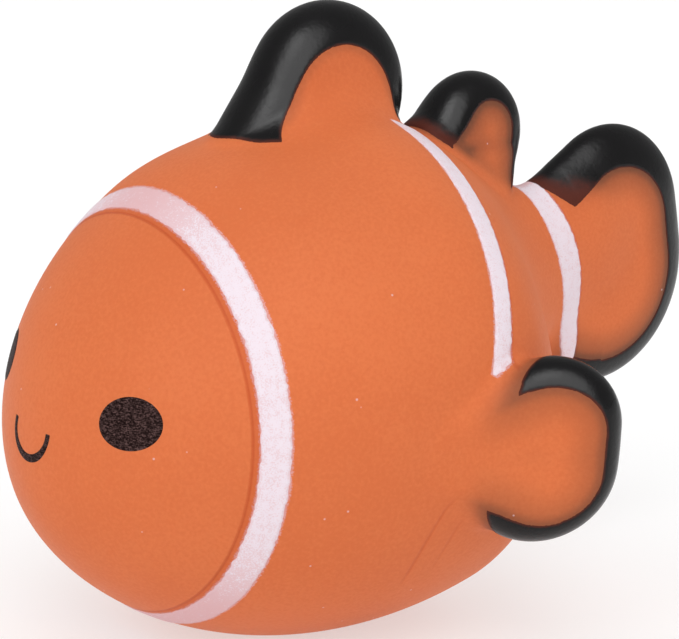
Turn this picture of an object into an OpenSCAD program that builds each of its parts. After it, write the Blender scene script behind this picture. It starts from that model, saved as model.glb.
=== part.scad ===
// Squeaky bath toy: a hollow soft vinyl fish that stands on its belly.
// The nose points to -X, the tail to +X and the back to +Z.
// The origin lies on the floor, under the middle of the toy.

/* [Body] */
// Length of the round front half, from the nose to the widest ring
head_length = 40; // [37:0.5:43]
// Diameter of the body at its widest ring
body_diameter = 57.4; // [54:0.2:61]
// Length of the rear half, from the widest ring to the end of the tail stock
rear_length = 36; // [33:0.5:39]
// Fullness of the nose across the axis, as a share of an ellipse's power
nose_side_share = 0.9; // [0.8:0.01:1]
// Fullness of the nose along the axis, as a share of an ellipse's power
nose_run_share = 1.04; // [1:0.01:1.1]
// Height of the tail stock at its end
stock_height = 15; // [12:0.5:17]
// Width of the tail stock at its end
stock_width = 8.9; // [7.5:0.1:11]
// Distance behind the widest ring at which the body starts to narrow sideways
narrow_start = 6; // [3:0.5:8]
// Length over which it narrows to the stock's width
narrow_run = 24; // [20:0.5:27]
// Length of the dome that closes the tail stock inside the tail fin
stock_dome = 9; // [7:0.5:11]
// Slope of the body's axis, upwards from nose to tail, in degrees
axis_pitch = 16.7; // [12:0.1:19]
// Wall of the hollow casting
wall = 2.2; // [1.8:0.1:2.6]
// Wall at the nose, where the vinyl gathers
nose_wall = 4; // [2:0.25:6]
// Depth of belly that is flattened so that the toy stands
base_depth = 1; // [0.8:0.05:1.4]

/* [Squeeze flanks] */
// Diameter of the flank wall that gives way on each side
flank_diameter = 18; // [14:0.5:19]
// Distance of the flank's centre ahead of the widest ring
flank_ahead = 13.3; // [12.6:0.1:14]
// Drop of the flank's centre below the ring's centre
flank_drop = 2; // [0:0.5:4]
// Gap around each flank wall
flank_gap = 0.3; // [0.25:0.05:0.5]

/* [Front dorsal fin] */
// Length of the fin at its root
front_dorsal_length = 21.6; // [19:0.2:24]
// Height of the fin above its centre
front_dorsal_rise = 12.4; // [10:0.2:15]
// Thickness of the fin at its root
front_dorsal_thick = 9.4; // [7:0.2:11]
// Backward lean of the fin, as run over rise
front_dorsal_lean_share = 0.27; // [0:0.01:0.4]
// Distance of the fin's centre behind the widest ring, along the axis
front_dorsal_behind = 3.2; // [1:0.1:5]
// Depth of the fin's centre under the back
front_dorsal_sink = 3.1; // [1:0.1:5]

/* [Rear dorsal fin] */
// Clear space along the axis between this fin and the front dorsal fin
rear_dorsal_gap = 1.1; // [0.6:0.1:2]
// Clear space along the axis between this fin and the middle of the tail band
rear_dorsal_clear = 1.6; // [1:0.1:2.4]
// Height of the fin above its centre
rear_dorsal_rise = 8.6; // [7:0.2:10]
// Thickness of the fin at its root
rear_dorsal_thick = 7.4; // [6:0.2:9]
// Backward lean of the fin, as run over rise
rear_dorsal_lean_share = 0.1; // [0:0.01:0.3]
// Height of the fin's centre over the back
rear_dorsal_lift = 1.2; // [0:0.1:2]

/* [Tail fin] */
// Length of the fin
tail_length = 22; // [19:0.2:25]
// Height of the fin
tail_height = 29.6; // [26:0.2:33]
// Thickness of the fin at its root
tail_thick = 8; // [6:0.2:10]
// Distance of the fin's centre behind the end of the tail stock
tail_setback = 4.9; // [3:0.1:6]
// Drop of the fin's centre below the axis
tail_drop = 3.5; // [1:0.1:5]

/* [Pectoral fins] */
// Length of each fin, buried root included
pectoral_length = 14.2; // [12:0.2:16]
// Height of each fin
pectoral_height = 18; // [15:0.2:20]
// Thickness of each fin at its root
pectoral_thick = 6.4; // [5:0.2:8]
// Outward lean of each fin's top, as run over rise
pectoral_lean_share = 0.12; // [0:0.01:0.2]
// Angle of each fin out from the flank, in degrees
pectoral_sweep = 35; // [25:1:45]
// Distance of each fin's centre behind the widest ring, along the axis
pectoral_behind = 1.5; // [0.5:0.1:3]
// Angle of each fin's centre below the axis, in degrees
pectoral_droop = 12.2; // [10:0.2:14]
// Height of each fin's centre over the flank
pectoral_lift = 1.8; // [1:0.1:2.5]

/* [Paint] */
// Thickness of the paint coats
coat = 0.15; // [0.1:0.01:0.25]
// Width of the white band behind the head
head_band_width = 2.5; // [1.6:0.1:3]
// Distance of that band ahead of the widest ring
head_band_ahead = 24.4; // [24.2:0.1:25.4]
// Width of the white band at mid body
mid_band_width = 2.3; // [1.6:0.1:2.6]
// Distance of that band ahead of the widest ring
mid_band_ahead = 1.7; // [1.5:0.1:2]
// Backward lean of that band's top, in degrees
mid_band_lean = 9.2; // [7:0.2:10]
// Clear space between the bands and the fins
band_gap = 0.8; // [0.5:0.1:1.5]
// Width of the white band on the tail stock
tail_band_width = 3.4; // [2.8:0.1:3.6]
// Distance of that band ahead of the end of the tail stock
tail_band_ahead = 4.5; // [4.2:0.1:4.8]
// Forward lean of that band's top, in degrees
tail_band_lean = 21; // [18:0.5:22]
// Part of each fin's radius that stays orange inside its black margin
margin_share = 0.76; // [0.65:0.01:0.85]
// Diameter of each printed eye, seen from the front
eye_diameter = 5.4; // [4:0.1:6]
// Distance of each eye from the middle of the face
eye_spread = 11.4; // [10:0.1:13]
// Height of the eyes over the ends of the mouth
eye_rise = 4; // [3:0.1:5]
// Width of the printed mouth
mouth_width = 5.8; // [4.5:0.1:7]
// Width of the mouth's line
mouth_stroke = 0.6; // [0.3:0.05:0.8]
// Height of the mouth's ends over the floor
mouth_height = 24.9; // [24:0.1:26.5]
// Sideways shift of the printed face, towards the left flank
face_shift = 0.4; // [0:0.05:1]
// Turn of the printed face, in degrees
face_turn = 8; // [0:0.5:10]

/* [Squeaker] */
// Outer diameter of the squeaker cup
cup_diameter = 9.8; // [9:0.1:10.4]
// Height of the squeaker cup
cup_height = 14; // [13:0.2:16]
// Wall of the cup
cup_wall = 0.9; // [0.7:0.05:1.1]
// Thickness of the cup's floor and flange
cup_floor = 1; // [0.8:0.05:1.2]
// Width of the cup's flange and of its snap lip
cup_lip = 1.1; // [0.8:0.05:1.3]
// Diameter of the sound hole in the cup's floor
sound_hole = 3; // [2:0.1:3.6]
// Height of the seat moulded round the belly hole
seat_height = 4; // [3.4:0.1:4.6]
// Wall of that seat
seat_wall = 2.6; // [2:0.1:3]
// Height of the reed seat's disc
reed_disc = 2.4; // [2:0.1:3]
// Height of the reed seat's post over its disc
reed_post = 6; // [5:0.1:6.4]
// Diameter of the reed seat's post
reed_post_diameter = 5; // [4.4:0.1:5.4]
// Diameter of the air channel in the post
air_channel = 1.6; // [1.2:0.1:2]
// Thickness of the reed
reed_thick = 0.15; // [0.1:0.01:0.2]
// Width of the reed
reed_width = 3; // [2.4:0.1:3.4]
// Height of the clip that holds the reed's root
reed_clip_height = 1.4; // [1.2:0.1:1.5]
// Thickness of the squeaker lid
lid_thick = 1.2; // [1:0.1:1.5]
// Diameter of the air hole in the lid
lid_hole = 2.4; // [1.6:0.1:3]
// Play between the parts of the squeaker
play = 0.05; // [0.03:0.01:0.08]
// Slack of the reed between its seat and its clip
reed_slack = 0.08; // [0.06:0.01:0.1]
// Recess of the flange under the belly
flange_recess = 0.3; // [0.2:0.05:0.5]

/* [Hidden] */

$fn = 96;
body_sides = 48;
tilt_steps = 360;
nose_steps = 16;
rear_steps = 15;
fin_sides = 32;
face_rings = 2;
rim_rings = 6;
dome_steps = 5;
overrun = 1;
orange = "#e07a45";
white = "#f4e6ec";
black = "#26211f";

body_radius = body_diameter / 2;
stock_radius = stock_height / 2;
body_length = head_length + rear_length;
reach = body_length + tail_length;

// Point of the front half's profile at an angle from the nose: distance ahead of the widest ring, and radius
function front_point(a, long, wide) =
  [long * pow(cos(a), 1 / nose_run_share), wide * pow(sin(a), 1 / nose_side_share)];
// Half height and half length of the tilted front half
tilt_points = [for (i = [0:tilt_steps]) front_point(90 * i / tilt_steps, head_length, body_radius)];
tilt_heights = [for (q = tilt_points) q[0] * sin(axis_pitch) + q[1] * cos(axis_pitch)];
tilt_height = max(tilt_heights);
tilt_length = max([for (q = tilt_points) q[0] * cos(axis_pitch) + q[1] * sin(axis_pitch)]);
ring_z = tilt_height - base_depth;
// Distances of the tail's tip and the nose's front from the widest ring
tail_centre_x = (rear_length + tail_setback) * cos(axis_pitch) + tail_drop * sin(axis_pitch);
tail_tip_x = tail_centre_x + tail_length / 2 + coat;
ring_x = (tilt_length + coat - tail_tip_x) / 2;
nose_x = ring_x - head_length * cos(axis_pitch);
nose_z = ring_z - head_length * sin(axis_pitch);
// Middle of the flattened belly
lowest = tilt_points[search(tilt_height, tilt_heights)[0]];
base_x = ring_x - (lowest[0] * cos(axis_pitch) - lowest[1] * sin(axis_pitch)) * ring_z / tilt_height;

// Stations of the fins and the tail band along the axis, from the nose
front_dorsal_station = head_length + front_dorsal_behind;
pectoral_station = head_length + pectoral_behind;
tail_band_station = body_length - tail_band_ahead;
// The rear dorsal fin fills the room between the front one and the tail band
rear_dorsal_start = front_dorsal_station + front_dorsal_length / 2 + rear_dorsal_gap;
rear_dorsal_end = tail_band_station - rear_dorsal_clear;
rear_dorsal_length = rear_dorsal_end - rear_dorsal_start;
rear_dorsal_station = (rear_dorsal_start + rear_dorsal_end) / 2;

// Half height of the body at a distance behind the nose, from the widest ring on
function rear_radius(x) =
  stock_radius + (body_radius - stock_radius) * (1 + cos(180 * (x - head_length) / rear_length)) / 2;
// Part of its height by which the body is narrower than high at a distance behind the nose
function narrowing(x) =
  let (t = min(max((x - head_length - narrow_start) / narrow_run, 0), 1))
  (1 - stock_width / stock_height) * (1 - cos(180 * t)) / 2;
// Sections of the body from nose to tail, grown outwards or, if negative, shrunk:
// distance behind the nose, half width and half height
function body_sections(grow, nose_grow) = concat(
  [for (i = [1:nose_steps])
    let (q = front_point(90 * i / nose_steps, head_length + nose_grow, body_radius + grow))
    [head_length - q[0], q[1], q[1]]],
  [for (i = [1:rear_steps])
    let (x = head_length + rear_length * i / rear_steps, r = rear_radius(x))
    [x, r * (1 - narrowing(x)) + grow, r + grow]],
  [for (i = [1:dome_steps - 1])
    let (a = 90 * i / dome_steps)
    [body_length + (stock_dome + grow) * sin(a),
      (stock_width / 2 + grow) * cos(a), (stock_radius + grow) * cos(a)]]
);

// Triangles between rings of points that follow each other
function ring_faces(rings, sides) = [
  for (k = [0:rings - 2], i = [0:sides - 1])
    let (j = (i + 1) % sides, a = k * sides, b = a + sides)
    each [[a + i, b + j, b + i], [a + i, a + j, b + j]]];

// A closed solid over rings of points, with a point at each end
module ringed(rings, first, last) {
  sides = len(rings[0]);
  count = len(rings) * sides;
  end = count - sides;
  polyhedron(
    concat([for (r = rings) each r], [first, last]),
    concat(
      ring_faces(len(rings), sides),
      [for (i = [0:sides - 1]) [count, (i + 1) % sides, i]],
      [for (i = [0:sides - 1]) [count + 1, end + i, end + (i + 1) % sides]]));
}

// Moves a shape drawn along the body's axis, nose at zero, to its place
module on_axis() translate([nose_x, 0, nose_z]) rotate([0, -axis_pitch, 0]) children();

module body_solid(grow, nose_grow) on_axis() ringed(
  [for (q = body_sections(grow, nose_grow))
    [for (i = [0:body_sides - 1])
      let (t = 360 * i / body_sides)
      [q[0], -q[1] * cos(t), q[2] * sin(t)]]],
  [-nose_grow, 0, 0],
  [body_length + stock_dome + grow, 0, 0]);

// The painted skin on the body's surface
module skin() difference() {
  body_solid(coat, coat);
  body_solid(0, 0);
}

// Everything under the floor
module under_floor()
  translate([-reach, -reach, -2 * reach]) cube(2 * reach);

// Place of a round flank wall, drawn from the middle plane outwards
module flank_bore(diameter, side)
  translate([ring_x - flank_ahead, 0, ring_z - flank_drop])
    rotate([side * 90, 0, 0]) cylinder(h = body_diameter, d = diameter);

module hollow() difference() {
  body_solid(0, 0);
  body_solid(-wall, -nose_wall);
  under_floor();
}

cup_radius = cup_diameter / 2;
flange_radius = cup_radius + cup_lip;
seat_radius = flange_radius + seat_wall;
neck_z = cup_floor + flange_recess;

module body_shell() color(orange) difference() {
  union() {
    hollow();
    intersection() {
      translate([base_x, 0, 0]) cylinder(h = seat_height, r = seat_radius);
      body_solid(-wall / 2, -wall / 2);
    }
  }
  for (side = [-1, 1]) flank_bore(flank_diameter, side);
  translate([base_x, 0, -overrun]) cylinder(h = seat_height + 2 * overrun, r = cup_radius + play);
  translate([base_x, 0, -overrun]) cylinder(h = neck_z + overrun, r = flange_radius + play);
}

module flank(side) color(orange) intersection() {
  hollow();
  flank_bore(flank_diameter - 2 * flank_gap, side);
}
module left_flank() flank(1);
module right_flank() flank(-1);

// A rounded lobe: a leaning ellipse in its own XZ plane that swells to a thickness
function lobe_ring(length, height, lean, thick, a) =
  let (r = pow(sin(a), 2 / 3))
  [for (i = [0:fin_sides - 1])
    let (t = 360 * i / fin_sides)
    [r * (length / 2 * cos(t) + lean * height / 2 * sin(t)), -thick / 2 * cos(a), r * height / 2 * sin(t)]];

// Angles of a lobe's rings: the black rim's own, and those of the orange face on each side of it
rim_start = asin(pow(margin_share, 3 / 2));
rim_angles = [for (k = [0:rim_rings]) rim_start + (180 - 2 * rim_start) * k / rim_rings];
face_angles = [for (k = [1:face_rings]) rim_start * k / (face_rings + 1)];
lobe_angles = concat(face_angles, rim_angles, [for (k = [face_rings - 1:-1:0]) 180 - face_angles[k]]);

module lobe(length, height, lean, thick) ringed(
  [for (a = lobe_angles) lobe_ring(length, height, lean, thick, a)],
  [0, -thick / 2, 0],
  [0, thick / 2, 0]);

// The black coat over a lobe's rim, which lies on the lobe's own facets
module lobe_margin(length, height, lean, thick) {
  rings = len(rim_angles);
  inner = rings * fin_sides;
  last = inner - fin_sides;
  points = concat(
    [for (a = rim_angles) each lobe_ring(length + 2 * coat, height + 2 * coat, lean, thick + 2 * coat, a)],
    [for (a = rim_angles) each lobe_ring(length, height, lean, thick, a)]);
  polyhedron(points, concat(
    ring_faces(rings, fin_sides),
    [for (f = ring_faces(rings, fin_sides)) [inner + f[0], inner + f[2], inner + f[1]]],
    [for (i = [0:fin_sides - 1])
      let (j = (i + 1) % fin_sides)
      each [[i, inner + j, j], [i, inner + i, inner + j]]],
    [for (i = [0:fin_sides - 1])
      let (j = (i + 1) % fin_sides)
      each [[last + i, last + j, inner + last + j], [last + i, inner + last + j, inner + last + i]]]));
}

// Places of the fins' centres, upright at their stations along the axis
module at_station(x, z) on_axis() translate([x, 0, z]) rotate([0, axis_pitch, 0]) children();
module front_dorsal_place()
  at_station(front_dorsal_station, rear_radius(front_dorsal_station) - front_dorsal_sink) children();
module rear_dorsal_place()
  at_station(rear_dorsal_station, rear_radius(rear_dorsal_station) + rear_dorsal_lift) children();
module tail_place() at_station(body_length + tail_setback, -tail_drop) children();
module pectoral_place(side) {
  radius = rear_radius(pectoral_station) + pectoral_lift;
  mirror([0, side > 0 ? 0 : 1, 0])
    on_axis()
      translate([pectoral_station, -radius * cos(pectoral_droop), -radius * sin(pectoral_droop)])
        rotate([0, axis_pitch, 0]) rotate([0, 0, -pectoral_sweep]) children();
}

// What lies outside the body
module outside(grow) difference() {
  children();
  body_solid(grow, grow);
}

module front_dorsal_lobe()
  lobe(front_dorsal_length, 2 * front_dorsal_rise, front_dorsal_lean_share, front_dorsal_thick);
module rear_dorsal_lobe()
  lobe(rear_dorsal_length, 2 * rear_dorsal_rise, rear_dorsal_lean_share, rear_dorsal_thick);
module tail_lobe() lobe(tail_length, tail_height, 0, tail_thick);
module pectoral_lobe() lobe(pectoral_length, pectoral_height, pectoral_lean_share, pectoral_thick);

module front_dorsal_fin() color(orange) outside(0) front_dorsal_place() front_dorsal_lobe();
module rear_dorsal_fin() color(orange) outside(0) rear_dorsal_place() rear_dorsal_lobe();
module tail_fin() color(orange) outside(0) tail_place() tail_lobe();
module left_pectoral_fin() color(orange) outside(0) pectoral_place(1) pectoral_lobe();
module right_pectoral_fin() color(orange) outside(0) pectoral_place(-1) pectoral_lobe();

module front_dorsal_margin() color(black) outside(0) front_dorsal_place()
  lobe_margin(front_dorsal_length, 2 * front_dorsal_rise, front_dorsal_lean_share, front_dorsal_thick);
module rear_dorsal_margin() color(black) outside(0) rear_dorsal_place()
  lobe_margin(rear_dorsal_length, 2 * rear_dorsal_rise, rear_dorsal_lean_share, rear_dorsal_thick);
module tail_margin() color(black) outside(0) tail_place()
  lobe_margin(tail_length, tail_height, 0, tail_thick);
module pectoral_margin(side) color(black) outside(0) pectoral_place(side)
  lobe_margin(pectoral_length, pectoral_height, pectoral_lean_share, pectoral_thick);
module left_pectoral_margin() pectoral_margin(1);
module right_pectoral_margin() pectoral_margin(-1);

// A slab across the body that a white band is cut from
module slab(width) translate([-width / 2, -reach, -reach]) cube([width, 2 * reach, 2 * reach]);

module head_band() color(white) intersection() {
  skin();
  translate([ring_x - head_band_ahead, 0, ring_z]) slab(head_band_width);
}

// Height of the pectoral fin's top over the floor
pectoral_top = nose_z + pectoral_station * sin(axis_pitch)
  - (body_radius + pectoral_lift) * sin(pectoral_droop) * cos(axis_pitch) + pectoral_height / 2;

module mid_band(side) color(white) intersection() {
  skin();
  translate([ring_x - mid_band_ahead, 0, ring_z]) rotate([0, mid_band_lean, 0]) slab(mid_band_width);
  mirror([0, side > 0 ? 0 : 1, 0])
    translate([-reach, -reach, pectoral_top + band_gap])
      cube([2 * reach, reach - front_dorsal_thick / 2 - band_gap, reach]);
}
module left_mid_band() mid_band(1);
module right_mid_band() mid_band(-1);

module tail_band() color(white) difference() {
  intersection() {
    skin();
    on_axis() translate([tail_band_station, 0, 0])
      rotate([0, axis_pitch - tail_band_lean, 0]) slab(tail_band_width);
  }
  tail_place() lobe(tail_length + 2 * band_gap, tail_height + 2 * band_gap, 0, tail_thick + 2 * band_gap);
}

// The printed face, drawn from the front about the middle of the mouth's ends
module printed() color(black) intersection() {
  skin();
  translate([nose_x - overrun, -face_shift, mouth_height])
    rotate([90, 0, 90]) rotate([0, 0, face_turn]) linear_extrude(head_length / 2) children();
}
module left_eye() printed() translate([-eye_spread, eye_rise]) circle(d = eye_diameter);
module right_eye() printed() translate([eye_spread, eye_rise]) circle(d = eye_diameter);
module mouth() printed() difference() {
  circle(d = mouth_width + mouth_stroke);
  circle(d = mouth_width - mouth_stroke);
  translate([-mouth_width, 0]) square(2 * mouth_width);
}

// The squeaker, drawn about its own upright axis
module at_squeaker() translate([base_x, 0, flange_recess]) children();
bore_radius = cup_radius - cup_wall;
snap_z = seat_height + play - flange_recess;
disc_z = cup_floor;
post_z = disc_z + reed_disc;
lid_z = cup_height - lid_thick;

module squeaker_cup() color("#e9e4da") at_squeaker() difference() {
  rotate_extrude() polygon([
    [0, 0],
    [flange_radius, 0],
    [flange_radius, cup_floor],
    [cup_radius, cup_floor],
    [cup_radius, snap_z],
    [cup_radius + cup_lip / 2, snap_z],
    [cup_radius, snap_z + cup_lip],
    [cup_radius, cup_height],
    [0, cup_height]
  ]);
  translate([0, 0, cup_floor]) cylinder(h = cup_height, r = bore_radius);
  translate([0, 0, -overrun]) cylinder(h = cup_floor + 2 * overrun, d = sound_hole);
}

module reed_seat() color("#d9d2c4") at_squeaker() difference() {
  union() {
    translate([0, 0, disc_z]) cylinder(h = reed_disc, r = bore_radius - play);
    intersection() {
      translate([0, 0, post_z - overrun]) cylinder(h = reed_post + overrun, d = reed_post_diameter);
      translate([0, -bore_radius, 0]) cube([bore_radius, 2 * bore_radius, cup_height]);
    }
  }
  translate([0, 0, disc_z - overrun])
    cylinder(h = reed_disc + reed_post - air_channel / 2 + overrun, d = air_channel);
}

module reed() color("#c9a24e") at_squeaker()
  translate([-reed_slack - reed_thick, -reed_width / 2, post_z + reed_slack])
    cube([reed_thick, reed_width, reed_post - reed_slack]);

module reed_clip() color("#d9d2c4") at_squeaker() intersection() {
  translate([0, 0, post_z]) cylinder(h = reed_clip_height, d = reed_post_diameter);
  translate([-bore_radius - 2 * reed_slack - reed_thick, -bore_radius, 0])
    cube([bore_radius, 2 * bore_radius, cup_height]);
}

module squeaker_lid() color("#e9e4da") at_squeaker() difference() {
  translate([0, 0, lid_z]) cylinder(h = lid_thick, r = bore_radius - play);
  translate([0, 0, lid_z - overrun]) cylinder(h = lid_thick + 2 * overrun, d = lid_hole);
}

body_shell();
left_flank();
right_flank();
front_dorsal_fin();
rear_dorsal_fin();
tail_fin();
left_pectoral_fin();
right_pectoral_fin();
front_dorsal_margin();
rear_dorsal_margin();
tail_margin();
left_pectoral_margin();
right_pectoral_margin();
head_band();
left_mid_band();
right_mid_band();
tail_band();
left_eye();
right_eye();
mouth();
squeaker_cup();
reed_seat();
reed();
reed_clip();
squeaker_lid();
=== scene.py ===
"""Dresses the squeaky bath toy: vinyl skin, sprayed paint, printed face, squeaker and stage."""

import math

import bpy
import numpy as np
from mathutils import Matrix, Vector


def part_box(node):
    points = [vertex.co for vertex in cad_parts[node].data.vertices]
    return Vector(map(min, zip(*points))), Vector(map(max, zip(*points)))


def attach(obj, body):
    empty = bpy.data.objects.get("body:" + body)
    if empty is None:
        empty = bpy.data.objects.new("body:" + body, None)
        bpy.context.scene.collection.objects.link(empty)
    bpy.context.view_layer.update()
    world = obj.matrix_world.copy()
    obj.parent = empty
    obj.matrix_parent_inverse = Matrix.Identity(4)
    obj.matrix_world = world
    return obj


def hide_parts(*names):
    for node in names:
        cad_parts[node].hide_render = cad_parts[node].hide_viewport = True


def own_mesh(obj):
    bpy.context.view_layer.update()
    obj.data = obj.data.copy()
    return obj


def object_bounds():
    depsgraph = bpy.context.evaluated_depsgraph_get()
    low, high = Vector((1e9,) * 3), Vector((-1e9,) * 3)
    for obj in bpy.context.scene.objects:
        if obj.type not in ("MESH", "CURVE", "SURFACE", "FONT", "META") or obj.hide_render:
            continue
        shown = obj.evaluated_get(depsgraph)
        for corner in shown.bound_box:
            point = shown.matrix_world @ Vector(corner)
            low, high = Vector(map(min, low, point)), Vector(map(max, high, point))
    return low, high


bl_info = {
    "name": "Squeaky Bath Toy",
    "version": (1, 0, 0),
    "blender": (4, 5, 0),
    "location": "View3D > Sidebar > Bath Toy",
    "description": "Builds the skin, paint, face, squeaker finish and stage of a vinyl bath toy",
    "category": "Object",
}

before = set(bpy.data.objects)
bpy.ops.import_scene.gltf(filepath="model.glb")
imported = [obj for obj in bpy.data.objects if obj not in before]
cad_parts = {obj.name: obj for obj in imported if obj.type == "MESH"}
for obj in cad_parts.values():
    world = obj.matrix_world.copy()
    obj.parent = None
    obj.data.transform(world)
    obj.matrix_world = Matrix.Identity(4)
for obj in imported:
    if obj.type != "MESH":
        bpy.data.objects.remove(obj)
CAD_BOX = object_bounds()
FLANK_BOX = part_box("left_flank")
CUP_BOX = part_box("squeaker_cup")
MM = 0.001
LEFT, BOTH, RIGHT = -1, 0, 1


# Property makers; lengths are written in millimetres and angles in degrees


def length(text, *mm):
    """A length, or several that belong together such as a point, kept in metres."""
    settings = {"description": text, "unit": "LENGTH", "precision": 5}
    if len(mm) == 1:
        return bpy.props.FloatProperty(default=mm[0] * MM, **settings)
    default = tuple(value * MM for value in mm)
    return bpy.props.FloatVectorProperty(size=len(mm), default=default, **settings)


def angle(text, degrees):
    """An angle, kept in radians."""
    return bpy.props.FloatProperty(description=text, default=math.radians(degrees), subtype="ANGLE")


def share(text, value):
    """A part of one, or any number without a unit."""
    return bpy.props.FloatProperty(description=text, default=value, precision=3)


def linear(level):
    """One colour level from 0 to 255 as light."""
    level /= 255
    return level / 12.92 if level <= 0.04045 else ((level + 0.055) / 1.055) ** 2.4


def tint(text, *levels):
    """A colour, written in the levels of a picture."""
    light = tuple(linear(level) for level in levels)
    return bpy.props.FloatVectorProperty(
        description=text, size=3, subtype="COLOR", min=0, max=1, default=light
    )


def label_of(key):
    return key.replace("_", " ").capitalize()


def labelled(group):
    """Labels each field of a property group by its own name."""
    for key, field in group.__annotations__.items():
        field.keywords["name"] = label_of(key)
    return group


def group_of(title, text, fields):
    """A property group made from its fields."""
    parts = {"__annotations__": fields, "__doc__": text}
    return labelled(type(title, (bpy.types.PropertyGroup,), parts))


# Property groups


@labelled
class BodyShape(bpy.types.PropertyGroup):
    """Sizes of the round body."""

    head_length: length("From the nose to the widest ring, along the axis", 40)
    diameter: length("Of the body at its widest ring", 57.4)
    nose_side: share("Fullness of the nose across the axis, against an ellipse's power", 0.9)
    nose_run: share("Fullness of the nose along the axis, against an ellipse's power", 1.04)
    rear_length: length("From the widest ring to the end of the tail stock", 36)
    stock_height: length("Height of the tail stock at its end", 15)
    stock_width: length("Width of the tail stock at its end", 8.9)
    stock_dome: length("Run of the stock into the tail fin", 9)
    narrow_start: length("Where the body starts to narrow sideways, behind the widest ring", 6)
    narrow_run: length("Length over which it narrows to the stock's width", 24)
    dip: length("Depth by which the back is lower at the front dorsal fin's front", 1.15)
    dip_ahead: length("Distance of that dip ahead of the widest ring", 3.1)
    dip_run: length("Length over which the dip fades to each side", 12.8)
    pitch: angle("Upward slope of the axis from nose to tail", 16.7)
    flank_ahead: length("Distance of the flanks' centres ahead of the widest ring", 13.3)
    flank_drop: length("Drop of the flanks' centres below the ring's centre", 2)
    base_edge: length("Rounding of the flat belly's edge", 0.8)
    step: length("Spacing of the skin's mesh", 0.6)
    squeeze_keep: share("Part of the width that is left when the toy is squeezed", 0.72)


# Each size of a fin: on the front dorsal, the rear dorsal, the tail and the pectoral fins
FIN_SIZES = {
    "tip": (
        "Centre of the circle at the fin's tip",
        ((-2.25, 57.9), (18.4, 52.65), (41.2, 41.75), (4.65, 25.4)),
    ),
    "tip_radius": ("Radius of that circle", (9, 6.4, 10.6, 7.4)),
    "front": (
        "Centre of the circle at the root's front",
        ((-13.5, 49.5), (11.9, 51), (32.5, 36.1), (-3.4, 23.35)),
    ),
    "front_radius": ("Radius of that circle", (4.2, 2.9, 9.45, 6.15)),
    "rear": (
        "Centre of the circle at the root's rear",
        ((-0.4, 53.1), (19.55, 47.65), (38.95, 35.9), (4.8, 21.45)),
    ),
    "rear_radius": ("Radius of that circle", (4.95, 4.15, 14.02, 7.45)),
    "root_thick": ("Thickness of the fin at its root", (9.6, 8.2, 6.1, 6.6)),
    "tip_thick": ("Thickness of the fin at its tip's centre", (8.9, 7, 6.4, 6.6)),
    "rim": ("Depth from the outline to the full thickness", (4.9, 3.55, 6.85, 3.8)),
    "fillet": ("Rounding where the fin's face leaves the body", (4.5, 3, 3, 3.8)),
    "rim_fillet": ("Rounding where the fin's rim leaves the body", (0.5, 0.8, 2, 1.6)),
    "margin": ("Width of the black margin", (3.65, 3.55, 4.4, 2.85)),
    "taper": ("How much narrower the margin is at the root", (0.5, 0.5, 0.75, 1.2)),
    "drift": (
        "How far the orange face lies off the fin's middle",
        ((-0.8, -1.05), (0.4, 0.35), (-0.2, -1.15), (1, -0.1)),
    ),
    "open_by": ("How far the orange face runs on below the fin's outline", (0, 3, 0, 0)),
    "clear": ("Space between the margin and the body on the fin's face", (0.05, 0.6, 0.4, 2.2)),
    "low_clear": ("Further space at the margin's lower end", (0, 0, 4.5, -0.7)),
    "rim_clear": ("Further space at the margin's rim", (0.5, 0.3, 0, 0)),
    "fade": ("Length over which the black thickens from there", (0.2, 2.4, 1.5, 0.6)),
}


def fin_shape(title, column, mist):
    """A fin: three circles that its outline wraps, its thickness and its painted margin."""
    fields = {}
    for key, (text, sizes) in FIN_SIZES.items():
        size = sizes[column]
        fields[key] = length(text, *size) if isinstance(size, tuple) else length(text, size)
    # How much drifted black mist and painted shade darken the orange face
    fields["mist"] = share("How much black has drifted onto the orange face", mist)
    return group_of(title, "Sizes of one fin.", fields)


# The last number darkens each fin's orange face: drifted black mist, with painted shade on the fins
# further back
FrontDorsalShape = fin_shape("FrontDorsalShape", 0, 0.04)
RearDorsalShape = fin_shape("RearDorsalShape", 1, 0.58)
TailShape = fin_shape("TailShape", 2, 0.55)
PectoralShape = fin_shape("PectoralShape", 3, 0.38)


@labelled
class PectoralPlace(bpy.types.PropertyGroup):
    """Place of the pectoral fins' planes."""

    root: length("Where it leaves the flank: behind the ring, and off the middle", -0.38, 27.33)
    level: length("Height at which that place is given", 26)
    lean: share("How much the root nears the middle downwards, as run over rise", 0.14)
    sweep: angle("Angle of the fin out from the flank", 36.5)


def band_shape(title, front, rear, level):
    """A white band: where each edge lies, leans and bows, and the height where that is given."""
    course = "edge: behind the widest ring, then its lean and its bow over the span"
    fields = {
        "front": length(f"Front {course}", *front),
        "rear": length(f"Rear {course}", *rear),
        "level": length("Height at which the edges' places are given", level),
        "span": length("Height over which the edges lean and bow", 20),
    }
    return group_of(title, "Edges of one band.", fields)


HeadBandShape = band_shape("HeadBandShape", (-25.57, -0.17, -1.1), (-22.85, -0.35, -0.85), 26)
MidBandShape = band_shape("MidBandShape", (-0.95, 3.11, -1.6), (1.69, 4.24, -0.65), 40)
TailBandShape = band_shape("TailBandShape", (27.35, -7.35, -0.6), (31.4, -7.8, -5.1), 40)


@labelled
class PaintShape(bpy.types.PropertyGroup):
    """Lay of the sprayed paint."""

    film: length("Thickness of the sprayed paint", 0.09)
    sink: length("How deep the film's border dips into the skin", 0.04)
    feather: length("Width over which the film rises at its border", 0.3)
    clear: length("Space between a band's end and a fin", 0.45)
    mid_clear: length("Space between the mid band's upper end and the front dorsal fin", 3.2)
    mid_low: length("Height of the mid band's lower end", 30.9)
    ragged: length("Unevenness of the masked edges", 0.06)
    ragged_size: length("Length of that unevenness", 1.1)


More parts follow.
